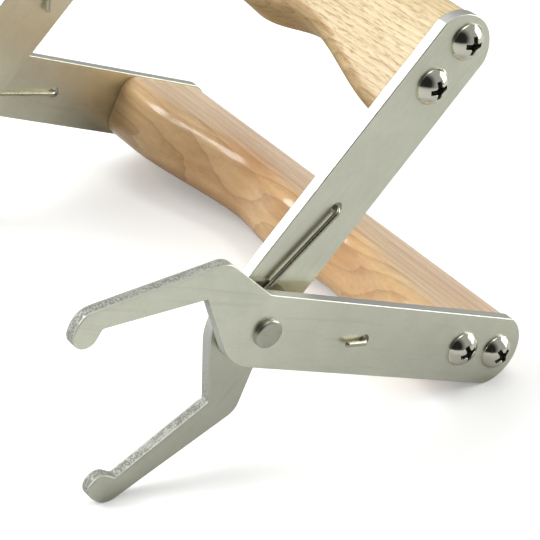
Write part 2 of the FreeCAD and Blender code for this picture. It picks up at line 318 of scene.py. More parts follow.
def mix_colour(tree, factor, a, b, blend="MIX"):
    node = put(tree, "ShaderNodeMix", data_type="RGBA", blend_type=blend)
    for socket, value in ((node.inputs[0], factor), (node.inputs[6], a), (node.inputs[7], b)):
        if isinstance(value, bpy.types.NodeSocket):
            tree.links.new(value, socket)
        elif isinstance(value, (int, float)):
            socket.default_value = value
        else:
            socket.default_value = (*value[:3], 1.0)
    return node.outputs[2]


def noise(tree, vector, scale, detail=2.0, rough=0.5):
    return put(tree, "ShaderNodeTexNoise", {"Vector": vector, "Scale": scale, "Detail": detail,
                                            "Roughness": rough}).outputs[0]


def stretched(tree, vector, scale):
    return put(tree, "ShaderNodeMapping", {"Vector": vector, "Scale": scale}).outputs[0]


def new_group(name, inputs, outputs):
    """Empty shader group with named sockets: pairs of a name and a socket kind."""
    tree = bpy.data.node_groups.new(name, "ShaderNodeTree")
    for label, kind in inputs:
        tree.interface.new_socket(label, in_out="INPUT", socket_type="NodeSocket" + kind)
    for label, kind in outputs:
        tree.interface.new_socket(label, in_out="OUTPUT", socket_type="NodeSocket" + kind)
    return tree, tree.nodes.new("NodeGroupInput").outputs, tree.nodes.new("NodeGroupOutput").inputs


def grain_group():
    """Wood: rings round a far pith, long fibres and short open pores, all drawn out along local Y, soft
    blotches, painted shade on the grooved front (a multiply tint) and a brown line at its brink."""
    name = "Wood grain"
    if name in bpy.data.node_groups:
        return bpy.data.node_groups[name]
    tree, get, give = new_group(
        name,
        [("Vector", "Vector"), ("Pale", "Color"), ("Dark", "Color"), ("Ring width", "Float"),
         ("Pores", "Float"), ("Mottle", "Float"), ("Front", "Float"), ("Front shade", "Color")],
        [("Colour", "Color"), ("Roughness", "Float"), ("Height", "Float")])
    wander = noise(tree, stretched(tree, get["Vector"], (60, 9, 60)), 1.0, 3)
    parts = put(tree, "ShaderNodeSeparateXYZ", {0: get["Vector"]}).outputs
    u2 = math_node(tree, "POWER", parts[0], 2.0)
    v2 = math_node(tree, "POWER", parts[2], 2.0)
    radius = math_node(tree, "SQRT", math_node(tree, "ADD", u2, v2))
    rings = math_node(tree, "DIVIDE", radius, get["Ring width"])
    rings = math_node(tree, "ADD", rings, math_node(tree, "MULTIPLY", wander, 3.2))
    saw = math_node(tree, "FRACT", rings)
    late = math_node(tree, "POWER", saw, 3.0)
    fibre = noise(tree, stretched(tree, get["Vector"], (1500, 45, 1500)), 1.0, 4, 0.6)
    coarse = noise(tree, stretched(tree, get["Vector"], (420, 12, 420)), 1.0, 3, 0.55)
    pores = noise(tree, stretched(tree, get["Vector"], (3600, 330, 3600)), 1.0, 3, 0.6)
    pore_mask = span(tree, pores, 0.55, 0.64)
    pore_mask = math_node(tree, "MULTIPLY", pore_mask, span(tree, late, 0.0, 0.6, 0.65, 1.0))
    pore_mask = math_node(tree, "MULTIPLY", pore_mask, get["Pores"])
    tone = math_node(tree, "ADD", math_node(tree, "MULTIPLY", late, 0.34),
                     math_node(tree, "MULTIPLY", span(tree, fibre, 0.3, 0.75), 0.20))
    tone = math_node(tree, "ADD", tone, math_node(tree, "MULTIPLY", span(tree, coarse, 0.35, 0.75), 0.30))
    body = mix_colour(tree, tone, get["Pale"], get["Dark"])
    body = mix_colour(tree, math_node(tree, "MULTIPLY", pore_mask, 0.75), body, get["Dark"])
    cloud = noise(tree, stretched(tree, get["Vector"], (70, 22, 70)), 1.0, 2)
    cloudy = math_node(tree, "MULTIPLY", span(tree, cloud, 0.42, 0.66), get["Mottle"])
    body = mix_colour(tree, cloudy, body, (0.70, 0.44, 0.26), "MULTIPLY")
    # Painted shade: the grooved front, which faces down and away from the light, is darkened by a multiply
    # tint.
    body = mix_colour(tree, span(tree, get["Front"], 0.35, 0.85), body, get["Front shade"], "MULTIPLY")
    from_brink = math_node(tree, "ABSOLUTE", math_node(tree, "SUBTRACT", get["Front"], 0.38))
    brink = span(tree, from_brink, 0.0, 0.30, 1.0, 0.0)
    brink = math_node(tree, "MULTIPLY", brink, span(tree, coarse, 0.40, 0.56))
    brink = math_node(tree, "MULTIPLY", math_node(tree, "MULTIPLY", brink, get["Pores"]), 0.8)
    body = mix_colour(tree, brink, body, (0.62, 0.42, 0.26), "MULTIPLY")
    tree.links.new(body, give["Colour"])
    rough = math_node(tree, "ADD", span(tree, fibre, 0.3, 0.7, -0.04, 0.06),
                      math_node(tree, "MULTIPLY", pore_mask, 0.12))
    tree.links.new(rough, give["Roughness"])
    height = math_node(tree, "SUBTRACT", math_node(tree, "MULTIPLY", fibre, 0.25), pore_mask)
    tree.links.new(height, give["Height"])
    return tree


def sheet_group():
    """Steel sheet: soft clouds, fine brushing along local X, dull streaks and a few short scratches."""
    name = "Sheet steel"
    if name in bpy.data.node_groups:
        return bpy.data.node_groups[name]
    tree, get, give = new_group(
        name, [("Vector", "Vector"), ("Colour", "Color"), ("Strength", "Float")],
        [("Colour", "Color"), ("Roughness", "Float"), ("Height", "Float")])
    cloud = noise(tree, get["Vector"], 48.0, 3, 0.6)
    smudge = noise(tree, get["Vector"], 150.0, 3, 0.6)
    fine = noise(tree, get["Vector"], 900.0, 3, 0.6)
    hair = noise(tree, stretched(tree, get["Vector"], (110, 4200, 4200)), 1.0, 3, 0.6)
    streak = noise(tree, stretched(tree, get["Vector"], (38, 620, 620)), 1.0, 3, 0.55)
    streak = span(tree, streak, 0.56, 0.74)
    marks = noise(tree, stretched(tree, get["Vector"], (130, 2100, 2100)), 1.0, 1, 0.5)
    marks = math_node(tree, "MULTIPLY", span(tree, marks, 0.70, 0.76), get["Strength"])
    shade = math_node(tree, "ADD", span(tree, cloud, 0.3, 0.7, 0.0, 0.38),
                      span(tree, smudge, 0.3, 0.7, 0.0, 0.27))
    shade = math_node(tree, "ADD", shade, span(tree, fine, 0.3, 0.7, 0.0, 0.18))
    shade = math_node(tree, "ADD", shade, span(tree, hair, 0.3, 0.7, 0.0, 0.17))
    dim = mix_colour(tree, 1.0, get["Colour"], (0.80, 0.81, 0.78), "MULTIPLY")
    body = mix_colour(tree, shade, dim, get["Colour"])
    dull = mix_colour(tree, 1.0, get["Colour"], (0.72, 0.73, 0.70), "MULTIPLY")
    dulling = math_node(tree, "MULTIPLY", math_node(tree, "MULTIPLY", streak, get["Strength"]), 0.45)
    body = mix_colour(tree, dulling, body, dull)
    body = mix_colour(tree, math_node(tree, "MULTIPLY", marks, 0.30), body, (0.85, 0.85, 0.82))
    tree.links.new(body, give["Colour"])
    rough = math_node(tree, "ADD", span(tree, cloud, 0.25, 0.75, -0.05, 0.06),
                      span(tree, hair, 0.3, 0.7, -0.03, 0.04))
    rough = math_node(tree, "ADD", rough, math_node(tree, "MULTIPLY", streak, 0.06))
    rough = math_node(tree, "SUBTRACT", rough, math_node(tree, "MULTIPLY", marks, 0.06))
    tree.links.new(rough, give["Roughness"])
    height = math_node(tree, "ADD", math_node(tree, "MULTIPLY", hair, 0.5),
                       math_node(tree, "MULTIPLY", fine, 0.3))
    height = math_node(tree, "SUBTRACT", height, math_node(tree, "MULTIPLY", marks, 0.6))
    tree.links.new(height, give["Height"])
    return tree


def local_vector(tree, way, shift=(0.0, 0.0, 0.0)):
    """Object coordinates turned so that local X runs along an arm. shift moves the pattern's origin."""
    coords = put(tree, "ShaderNodeTexCoord").outputs["Object"]
    angle = math.atan2(way[2], way[0])
    about = put(tree, "ShaderNodeMapping", {"Vector": coords, "Location": tuple(-PIVOT)})
    turned = put(tree, "ShaderNodeMapping", {"Vector": about.outputs[0], "Rotation": (0.0, angle, 0.0),
                                             "Location": shift})
    return turned.outputs[0]


def new_material(name, base):
    """Material with a plain Principled shader, ready for its patterns."""
    material = bpy.data.materials.new(name)
    material.use_nodes = True
    material.diffuse_color = (*base, 1.0)
    tree = material.node_tree
    shader = tree.nodes["Principled BSDF"]
    shader.inputs["Base Color"].default_value = (*base, 1.0)
    return material, tree, shader


def set_group(tree, group, links):
    node = tree.nodes.new("ShaderNodeGroup")
    node.node_tree = group
    for key, value in links.items():
        if isinstance(value, bpy.types.NodeSocket):
            tree.links.new(value, node.inputs[key])
        elif isinstance(value, (int, float)):
            node.inputs[key].default_value = value
        else:
            node.inputs[key].default_value = (*value, 1.0)
    return node.outputs


def bump(tree, shader, height, distance, strength=1.0):
    node = put(tree, "ShaderNodeBump", {"Height": height, "Distance": distance, "Strength": strength})
    tree.links.new(node.outputs[0], shader.inputs["Normal"])


def edge_group():
    """Sheared edge of a plate, from the height across its thickness: a mask of the edge, a mask of the
    torn grain where the edge is a jaw's, and a thin dark line of painted shade beside each face."""
    name = "Sheared edge"
    if name in bpy.data.node_groups:
        return bpy.data.node_groups[name]
    tree, get, give = new_group(
        name, [("Vector", "Vector"), ("Across", "Float"), ("Half", "Float")],
        [("Edge", "Float"), ("Torn", "Float"), ("Edge shade", "Float")])
    depth = math_node(tree, "SUBTRACT", get["Half"], math_node(tree, "ABSOLUTE", get["Across"]))
    edge = span(tree, depth, 0.06 * MM, 0.22 * MM)
    along = put(tree, "ShaderNodeSeparateXYZ", {0: get["Vector"]}).outputs[0]
    jaw = span(tree, along, -13 * MM, -22 * MM)
    patch = span(tree, noise(tree, get["Vector"], 240.0, 2), 0.30, 0.46, 0.45, 1.0)
    coarse = noise(tree, stretched(tree, get["Vector"], (2600, 1500, 2600)), 1.0, 4, 0.7)
    torn = math_node(tree, "MULTIPLY", span(tree, coarse, 0.42, 0.56), jaw)
    torn = math_node(tree, "MULTIPLY", torn, patch)
    torn = math_node(tree, "MULTIPLY", torn, span(tree, depth, 0.25 * MM, 0.60 * MM))
    # Painted shade: a thin dark line just inside the edge of each face.
    edge_shade_line = span(tree, math_node(tree, "ABSOLUTE", math_node(tree, "SUBTRACT", depth, 0.27 * MM)),
                0.0, 0.09 * MM, 1.0, 0.0)
    uneven = span(tree, noise(tree, get["Vector"], 420.0, 2), 0.30, 0.5, 0.35, 1.0)
    edge_shade_line = math_node(tree, "MULTIPLY", edge_shade_line, uneven)
    tree.links.new(edge, give["Edge"])
    tree.links.new(math_node(tree, "MULTIPLY", torn, edge), give["Torn"])
    tree.links.new(edge_shade_line, give["Edge shade"])
    return tree


def steel_material(name, way, node, steel, jaw_shade, far_end_shade):
    """Arm finish: satin faces, bright sheared edges, and torn grain on the jaws' edges. The faces carry
    painted shade: a little darker towards the jaw and towards the far end, by one tone each."""
    face, rim = tuple(steel.sheet), tuple(steel.rim)
    material, tree, shader = new_material(name, face)
    vector = local_vector(tree, way)
    low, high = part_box(node)
    sheet = set_group(tree, sheet_group(), {"Vector": vector, "Colour": face, "Strength": 1.0})
    along = put(tree, "ShaderNodeSeparateXYZ", {0: vector}).outputs[0]
    # Painted shade: the face is darkened towards the jaw and towards the far end by a multiply.
    tone = span(tree, along, -16 * MM, 6 * MM, jaw_shade, 1.0)
    tone = math_node(tree, "MULTIPLY", tone, span(tree, along, 8 * MM, 70 * MM, 1.0, far_end_shade))
    shade_grey = put(tree, "ShaderNodeCombineColor", {0: tone, 1: tone, 2: tone}).outputs[0]
    shaded_face = mix_colour(tree, 1.0, sheet["Colour"], shade_grey, "MULTIPLY")
    coords = put(tree, "ShaderNodeTexCoord").outputs["Object"]
    y = put(tree, "ShaderNodeSeparateXYZ", {0: coords}).outputs[1]
    across = math_node(tree, "SUBTRACT", math_node(tree, "ABSOLUTE", y), abs(low.y + high.y) / 2)
    half = (high.y - low.y) / 2
    sheared = set_group(tree, edge_group(), {"Vector": vector, "Across": across, "Half": half})
    rim_colour = mix_colour(tree, sheared["Torn"], rim, tuple(steel.torn))
    body = mix_colour(tree, sheared["Edge"], shaded_face, rim_colour)
    # Painted shade: the thin dark line beside each face, in the torn colour.
    body = mix_colour(tree, math_node(tree, "MULTIPLY", sheared["Edge shade"], 0.62), body, tuple(steel.torn))
    tree.links.new(body, shader.inputs["Base Color"])
    rough = math_node(tree, "ADD", sheet["Roughness"], steel.roughness)
    rough = math_node(tree, "ADD", rough, math_node(tree, "MULTIPLY", sheared["Torn"], 0.14))
    rough = math_node(tree, "ADD", rough, math_node(tree, "MULTIPLY", sheared["Edge"], 0.14))
    tree.links.new(rough, shader.inputs["Roughness"])
    shader.inputs["Metallic"].default_value = 1.0
    height = math_node(tree, "SUBTRACT", sheet["Height"], math_node(tree, "MULTIPLY", sheared["Torn"], 5.0))
    bump(tree, shader, height, STEEL_BUMP)
    return material


def wood_material(name, way, pale, dark, finish):
    """Wood finish. The front attribute is 1 on the grooved front and fades round its corners; it also sets
    where the painted shade on that front falls.
    """
    material, tree, shader = new_material(name, pale)
    vector = local_vector(tree, way, finish["shift"])
    front = put(tree, "ShaderNodeAttribute", attribute_name="front").outputs["Fac"]
    grain = set_group(tree, grain_group(), {
        "Vector": vector, "Pale": pale, "Dark": dark, "Front": front, "Front shade": finish["front_shade"],
        "Ring width": finish["ring"], "Pores": finish["pores"], "Mottle": finish["mottle"]})
    tree.links.new(grain["Colour"], shader.inputs["Base Color"])
    rough = math_node(tree, "ADD", grain["Roughness"], finish["gloss"])
    tree.links.new(rough, shader.inputs["Roughness"])
    shader.inputs["Coat Weight"].default_value = finish["coat"]
    shader.inputs["Coat Roughness"].default_value = 0.16
    shader.inputs["Specular IOR Level"].default_value = 0.4
    bump(tree, shader, grain["Height"], WOOD_BUMP)
    return material


def plated_material(name, base):
    """Bright plating: faint orange peel, small scuffs, and painted shade inside the recess."""
    material, tree, shader = new_material(name, base)
    coords = put(tree, "ShaderNodeTexCoord").outputs["Object"]
    peel = noise(tree, coords, 1400.0, 3, 0.6)
    scuff = span(tree, noise(tree, coords, 600.0, 5, 0.7), 0.55, 0.75)
    recess_shade = put(tree, "ShaderNodeAttribute", attribute_name="recess").outputs["Fac"]
    body = mix_colour(tree, math_node(tree, "MULTIPLY", scuff, 0.35), base, [0.7 * c for c in base])
    # Painted shade: the pressed cross is darkened to near black.
    body = mix_colour(tree, recess_shade, body, (0.05, 0.045, 0.03))
    tree.links.new(body, shader.inputs["Base Color"])
    rough = math_node(tree, "ADD", math_node(tree, "MULTIPLY", scuff, 0.10),
                      math_node(tree, "MULTIPLY", recess_shade, 0.35))
    tree.links.new(math_node(tree, "ADD", rough, 0.13), shader.inputs["Roughness"])
    shader.inputs["Metallic"].default_value = 1.0
    bump(tree, shader, peel, PLATING_BUMP)
    return material


def small_steel_material(name, way, base, roughness):
    """Rivets, bushes, washers and wire: satin steel with fine scatter."""
    material, tree, shader = new_material(name, base)
    vector = local_vector(tree, way)
    sheet = set_group(tree, sheet_group(), {"Vector": vector, "Colour": base, "Strength": 0.3})
    tree.links.new(sheet["Colour"], shader.inputs["Base Color"])
    tree.links.new(math_node(tree, "ADD", sheet["Roughness"], roughness), shader.inputs["Roughness"])
    shader.inputs["Metallic"].default_value = 1.0
    bump(tree, shader, sheet["Height"], STEEL_BUMP)
    return material


def wear(piece, material):
    piece.data.materials.clear()
    piece.data.materials.append(material)


# ---------------------------------------------------------------- pieces

class FRAMEGRIP_OT_arms(bpy.types.Operator):
    """Give the four stamped arms their satin sheet finish and sheared rims"""
    bl_idname = "framegrip.arms"
    bl_label = "Arms"

    def execute(self, context):
        steel = context.scene.frame_grip_steel
        for label, (body, jaw_shade, far_end_shade) in ARM_BODIES_AND_SHADES.items():
            way = LOWER_WAY if body == LOWER else UPPER_WAY
            name = "Arm steel " + label
            material = steel_material(name, way, "near_" + label, steel, jaw_shade, far_end_shade)
            for side in SIDES:
                wear(NODES[side + "_" + label], material)
        return {"FINISHED"}


def grip_rings(wood, back, extent):
    """Rings of a wooden grip in its arm's own frame (u, y, v).

    Each ring is a rectangle with round corners: a point is a corner's centre plus its radius
    times the unit vector at an angle, four quarter turns of angle in all. Along y the front
    corners' centres move back by the groove depth times a share made of two smooth steps, so
    that the front has two hollows with a low rise between them. Near both ends the radii
    shrink by a quarter circle to ease the edge. The second array says how far each point faces the
    front: minus the cosine of its angle, never below zero.
    """
    half = extent / 2
    near_end = np.array([0.0, 0.1, 0.3, 0.6, 1.0]) * wood.eased
    ys = np.concatenate([-half + near_end, np.linspace(-half, half, 121)[1:-1], half - near_end[::-1]])
    away = np.abs(ys - wood.centre)
    rise = wood.rise + (1 - wood.rise) * smoothstep(away / wood.pitch)
    fall = 1.0 - smoothstep((away - wood.pitch) / wood.runout)
    depth = np.where(away < wood.pitch, rise, fall)
    front = wood.front + wood.groove * depth
    inside = np.clip(1 - (half - np.abs(ys)) / wood.eased, 0, 1)
    ease = wood.eased * (1 - np.sqrt(1 - inside ** 2))
    quarter = np.linspace(0, np.pi / 2, 15)
    front_round = np.full_like(ys, wood.front_round)
    back_round = np.full_like(ys, wood.back_round)
    corners = [
        (back - back_round, wood.half - back_round, back_round, 0),
        (front + front_round, wood.half - front_round, front_round, 1),
        (front + front_round, -wood.half + front_round, front_round, 2),
        (back - back_round, -wood.half + back_round, back_round, 3),
    ]
    u = []
    v = []
    facing_front = []
    for cu, cv, radius, turn in corners:
        angle = quarter[None, :] + turn * np.pi / 2
        reach = (radius - ease)[:, None]
        u.append(cu[:, None] + reach * np.cos(angle))
        v.append(cv[:, None] + reach * np.sin(angle))
        facing_front.append(np.clip(-np.cos(angle), 0, 1) * np.ones_like(reach))
    u = np.concatenate(u, axis=1)
    v = np.concatenate(v, axis=1)
    y = np.repeat(ys[:, None], u.shape[1], axis=1)
    return np.stack([u, y, v], -1), np.concatenate(facing_front, axis=1)


def in_arm(points, way, side):
    """Places (u, y, v) points of an arm's own frame in the row's frame."""
    flat = PIVOT * np.array([1, 0, 1])
    return flat + points[..., 0:1] * way + points[..., 1:2] * ACROSS + points[..., 2:3] * side


class FRAMEGRIP_OT_grips(bpy.types.Operator):
    """Build the two wooden grips with their finger grooves and grain"""
    bl_idname = "framegrip.grips"
    bl_label = "Wooden grips"

    def execute(self, context):
        wood = context.scene.frame_grip_wood
        plan = (
            ("lower", LOWER, wood.back, LOWER_WAY, LOWER_SIDE, wood.lower_pale, wood.lower_dark),
            ("upper", UPPER, wood.upper_back, UPPER_WAY, UPPER_SIDE, wood.upper_pale, wood.upper_dark),
        )
        for label, body, back, way, side, pale, dark in plan:
            node = label + "_handle"
            low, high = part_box(node)
            rings, front = grip_rings(wood, back, high.y - low.y)
            piece = solid_from_rings(label + "_grip", in_arm(rings, way, side))
            add_mask(piece, "front", front)
            sharp_by_angle(piece, 50)
            name = label.title() + " wood"
            wear(piece, wood_material(name, way, tuple(pale), tuple(dark), GRIP_FINISHES[label]))
            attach(piece, body)
            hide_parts(node)
        return {"FINISHED"}


def screw_rings(screw, turn):
    """Rings of a screw about its own axis, as (x, y, z) with the head towards -y.

    The outline is a dome, a straight rim, a flat underside, the shank and a point. On the dome a
    cross is pressed in: its depth is full where a point is inside either arm of the cross, falls
    over a narrow wall, and gets less towards the arms' tips.
    """
    drop = screw.height - screw.rim
    ball = (screw.head ** 2 + drop ** 2) / (2 * drop)
    pressed_r = 0.6 * screw.span
    inner_r = np.linspace(0.00002, pressed_r, 54)
    dome_r = np.concatenate([inner_r, np.linspace(pressed_r, screw.head, 18)[1:]])
    dome_y = -screw.height + ball - np.sqrt(ball ** 2 - dome_r ** 2)
    tail_r = np.array([screw.head, screw.head, screw.shank, screw.shank, 0.0002])
    tail_y = np.array([-screw.rim * 0.6, 0.0, 0.0, screw.reach - 0.004, screw.reach])
    radius = np.concatenate([dome_r, tail_r])
    along = np.concatenate([dome_y, tail_y])
    angle = np.linspace(0, 2 * np.pi, 144, endpoint=False)
    x = radius[:, None] * np.cos(angle)
    z = radius[:, None] * np.sin(angle)
    y = np.repeat(along[:, None], angle.size, axis=1)
    a = x * math.cos(turn) + z * math.sin(turn)
    b = -x * math.sin(turn) + z * math.cos(turn)
    arm_a = np.maximum(np.abs(a) - screw.slot / 2, np.abs(b) - screw.span / 2)
    arm_b = np.maximum(np.abs(b) - screw.slot / 2, np.abs(a) - screw.span / 2)
    centre = np.hypot(a, b) - 0.95 * screw.slot
    edge = np.minimum(np.minimum(arm_a, arm_b), centre)
    pressed = smoothstep(0.5 - edge / RECESS_WALL) * (radius[:, None] < pressed_r)
    taper = 1.0 - 0.55 * np.clip(radius[:, None] / (screw.span / 2), 0, 1) ** 1.5
    y = y + pressed * screw.depth * taper
    return np.stack([x, y, z], -1), pressed


class FRAMEGRIP_OT_screws(bpy.types.Operator):
    """Build the eight bright pan-head screws with a pressed cross recess"""
    bl_idname = "framegrip.screws"
    bl_label = "Screws"

    def execute(self, context):
        screw = context.scene.frame_grip_screw
        material = plated_material("Bright plating", tuple(screw.plate))
        for side, sign in SIDES.items():
            for place, turn in SCREW_TURNS.items():
                node = side + "_" + place.replace("_", "_screw_")
                low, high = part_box(node)
                extra = FAR_TURN if sign < 0 else 0.0
                rings, pressed = screw_rings(screw, turn * sign + extra)
                rings[..., 1] *= sign
                seat = (low.y + screw.height) if sign > 0 else (high.y - screw.height)
                centre = middle(node)
                centre[1] = seat
                piece = solid_from_rings(node + "_piece", rings + centre)
                # The recess mask carries the painted shade of the cross.
                add_mask(piece, "recess", pressed)
                sharp_by_angle(piece, 40)
                wear(piece, material)
                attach(piece, LOWER if place.startswith("lower") else UPPER)
                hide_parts(node)
        return {"FINISHED"}


def rivet_rings(pivot, extent):
    """Rings of a rivet about its axis, from the outer head (y = 0) to the tail head (y = extent).

    Each head is a flat with a round shoulder. The flat's height is lowered by a slow sum of two
    waves across it, as a hammered face is, never above the plain outline.
    """
    lip = pivot.head
    t = np.linspace(0, 1, 10)
    flat = 0.62 * lip
    shoulder_r = flat + (lip - flat) * np.sin(t * np.pi / 2)
    shoulder_y = 0.45 * pivot.height * (1 - np.cos(t * np.pi / 2))
    face_r = np.linspace(0.00003, flat, 14)
    head_r = np.concatenate([face_r, shoulder_r[1:], [lip, pivot.shank]])
    head_y = np.concatenate([np.zeros(14), shoulder_y[1:], [pivot.height, pivot.height]])
    radius = np.concatenate([head_r, head_r[::-1]])
    along = np.concatenate([head_y, extent - head_y[::-1]])
    angle = np.linspace(0, 2 * np.pi, 96, endpoint=False)
    x = radius[:, None] * np.cos(angle)
    z = radius[:, None] * np.sin(angle)
    y = np.repeat(along[:, None], angle.size, axis=1)
    dent = 0.5 - 0.25 * (np.sin(1500 * x + 0.7) + np.cos(1300 * z - 900 * x))
    fade = np.clip(1 - radius[:, None] / lip, 0, 1) ** 0.5
    depth = DENT_DEPTH * dent * fade
    y = y + np.where(y < extent / 2, depth, -depth)
    return np.stack([x, y, z], -1)


class FRAMEGRIP_OT_pivots(bpy.types.Operator):
    """Build the rivets and finish the bushes and washers of both pivots"""
    bl_idname = "framegrip.pivots"
    bl_label = "Pivots"

    def execute(self, context):
        steel = context.scene.frame_grip_steel
        pivot = context.scene.frame_grip_pivot
        material = small_steel_material("Pivot steel", LOWER_WAY, tuple(steel.rivet), 0.26)
        for side, sign in SIDES.items():
            node = side + "_pivot_rivet"
            low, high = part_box(node)
            rings = rivet_rings(pivot, high.y - low.y)
            rings[..., 1] *= sign
            centre = middle(node)
            centre[1] = low.y if sign > 0 else high.y
            piece = solid_from_rings(side + "_rivet", rings + centre)
            sharp_by_angle(piece, 50)
            wear(piece, material)
            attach(piece, LOWER)
            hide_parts(node)
            for part in ("spacer_bush", "spacer_washer", "back_washer"):
                wear(NODES[side + "_" + part], material)
        return {"FINISHED"}


def spring_path(spring, y_outer, y_inner, y_hook_a, y_hook_b):
    """Centre line and cross direction of a spring, as arrays about the pivot.

    It runs from the inner hook, through a quarter bend into the inner arm's hole, a second
    quarter bend, along the leg to the coil, round the coil while it moves sideways on a smooth
    step, and out along the other leg to two more quarter bends and the outer hook. Straight runs
    are even steps, bends are a centre plus the radius times cosine and sine, and the coil is
    the radius times cosine and sine of its angle.
    """
    lead = math.acos(spring.coil / spring.hole)
    angle_a = math.atan2(LOWER_WAY[2], LOWER_WAY[0])
    angle_b = math.atan2(UPPER_WAY[2], UPPER_WAY[0])
    start = angle_b + lead
    stop = angle_a - lead + 4 * math.pi
    single = stop - start - 2 * math.pi

    def run(first, last, count):
        t = np.linspace(0, 1, count)[:, None]
        return first + (last - first) * t

    def bend(corner, before, after):
        t = np.linspace(0, np.pi / 2, 12)[:, None]
        centre = corner - before * spring.bend + after * spring.bend
        return centre - after * spring.bend * np.cos(t) + before * spring.bend * np.sin(t)

    def radial(angle, y):
        return np.stack([np.cos(angle), 0 * angle, np.sin(angle)], -1) * spring.coil + y[:, None] * ACROSS

    turn = np.linspace(start, stop, 150)
    shift = smoothstep((turn - start - single) / (2 * math.pi - single))
    coil = radial(turn, y_inner + (y_outer - y_inner) * shift)
    out_a = LOWER_WAY * spring.hole + ACROSS * y_outer
    out_b = UPPER_WAY * spring.hole + ACROSS * y_inner
    leg_a = (out_a - coil[-1]) / np.linalg.norm(out_a - coil[-1])
    leg_b = (out_b - coil[0]) / np.linalg.norm(out_b - coil[0])
    inward = ACROSS
    hook_dir = -leg_b * math.cos(spring.turn) + np.cross(ACROSS, leg_b) * math.sin(spring.turn)
    hook_b = out_b + ACROSS * (y_hook_b - y_inner)
    hook_a = out_a + ACROSS * (y_hook_a - y_outer)
    normal_a = np.cross(leg_a, ACROSS)
    normal_b = np.cross(-leg_b, ACROSS)
    hook_normal = np.cross(-hook_dir, ACROSS)
    b_hook = run(hook_b + hook_dir * spring.inner_hook, hook_b + hook_dir * spring.bend, 14)
    b_turn = bend(hook_b, -hook_dir, -inward)
    b_hole = run(b_turn[-1], out_b + inward * spring.bend, 10)
    b_in = bend(out_b, -inward, -leg_b)
    b_leg = run(b_in[-1], coil[0], 30)
    a_leg = run(coil[-1], out_a - leg_a * spring.bend, 30)
    a_in = bend(out_a, leg_a, -inward)
    a_hole = run(a_in[-1], hook_a + inward * spring.bend, 10)
    a_turn = bend(hook_a, -inward, -leg_a)
    a_hook = run(a_turn[-1], hook_a - leg_a * spring.outer_hook, 14)
    twist = np.linspace(0, 1, 10)[:, None]
    twisted = hook_normal * (1 - twist) + normal_b * twist
    parts = [
        (b_hook, hook_normal), (b_turn, hook_normal), (b_hole, twisted),
        (b_in, normal_b), (b_leg, normal_b),
        (coil, np.stack([np.cos(turn), 0 * turn, np.sin(turn)], -1)),
        (a_leg, normal_a), (a_in, normal_a), (a_hole, normal_a), (a_turn, normal_a), (a_hook, normal_a),
    ]
    line = np.concatenate([p[1:] if i else p for i, (p, _) in enumerate(parts)])
    sides = [np.broadcast_to(n, p.shape) for p, n in parts]
    cross = np.concatenate([n[1:] if i else n for i, n in enumerate(sides)])
    return line, cross


def wire_rings(line, cross, radius):
    """Round profile carried along a line: each ring is the radius times cosine and sine on two
    directions square to the line. The ends close over a small half round."""
    along = np.gradient(line, axis=0)
    along /= np.linalg.norm(along, axis=1)[:, None]
    cross = cross - along * np.sum(cross * along, axis=1)[:, None]
    cross /= np.linalg.norm(cross, axis=1)[:, None]
    other = np.cross(along, cross)
    angle = np.linspace(0, 2 * np.pi, 20, endpoint=False)
    ring = (cross[:, None, :] * np.cos(angle)[None, :, None]
            + other[:, None, :] * np.sin(angle)[None, :, None])
    body = line[:, None, :] + radius * ring
    t = np.linspace(0.12, 1, 6)[:-1]
    size = np.sqrt(1 - (1 - t) ** 2)
    reach = (0.45 * radius * (1 - t))[:, None, None]
    full = 0.45 * radius
    start = line[0] + radius * size[:, None, None] * ring[0] - along[0] * (reach - full)
    stop = line[-1] + radius * size[::-1, None, None] * ring[-1] + along[-1] * (reach[::-1] - full)
    keep = slice(2, -2)
    return np.concatenate([start, body[keep], stop])


class FRAMEGRIP_OT_springs(bpy.types.Operator):
    """Build both torsion springs as wire shapes round the pivots"""
    bl_idname = "framegrip.springs"
    bl_label = "Springs"

    def execute(self, context):
        spring = context.scene.frame_grip_spring
        material = small_steel_material("Drawn wire", LOWER_WAY, tuple(spring.steel), 0.24)
        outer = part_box("near_outer_arm")
        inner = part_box("near_inner_arm")
        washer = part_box("near_spacer_washer")
        y_outer = outer[1].y + SPRING_PLAY + spring.wire
        y_inner = washer[0].y - SPRING_PLAY - spring.wire
        hook_outer, hook_inner = outer[0].y - spring.bend, inner[1].y + spring.bend
        line, cross = spring_path(spring, y_outer, y_inner, hook_outer, hook_inner)
        flat = PIVOT * np.array([1, 0, 1])
        for side, sign in SIDES.items():
            flip = np.array([1.0, sign, 1.0])
            rings = wire_rings((line + flat) * flip, cross * flip, spring.wire)
            piece = solid_from_rings(side + "_spring_wire", rings)
            wear(piece, material)
            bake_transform(piece)
            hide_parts(side + "_torsion_spring")
        return {"FINISHED"}


# ---------------------------------------------------------------- stage

def soft_light(name, place, aim, size, power):
    light = bpy.data.lights.new(name, "AREA")
    light.shape = "RECTANGLE"
    light.size, light.size_y = size
    light.energy = power
    holder = bpy.data.objects.new(name, light)
    bpy.context.scene.collection.objects.link(holder)
    back = np.array(place) - np.array(aim)
    holder.matrix_world = look_matrix(place, back)
    return holder


def look_matrix(place, back, roll=0.0):
    """Placement whose local Z is the given direction and whose X is level, turned by roll."""
    z = Vector(back).normalized()
    x = Vector((0, 0, 1)).cross(z).normalized()
    y = z.cross(x)
    turned_x = x * math.cos(roll) + y * math.sin(roll)
    turned_y = y * math.cos(roll) - x * math.sin(roll)
    matrix = Matrix((turned_x, turned_y, z)).transposed().to_4x4()
    matrix.translation = Vector(place)
    return matrix


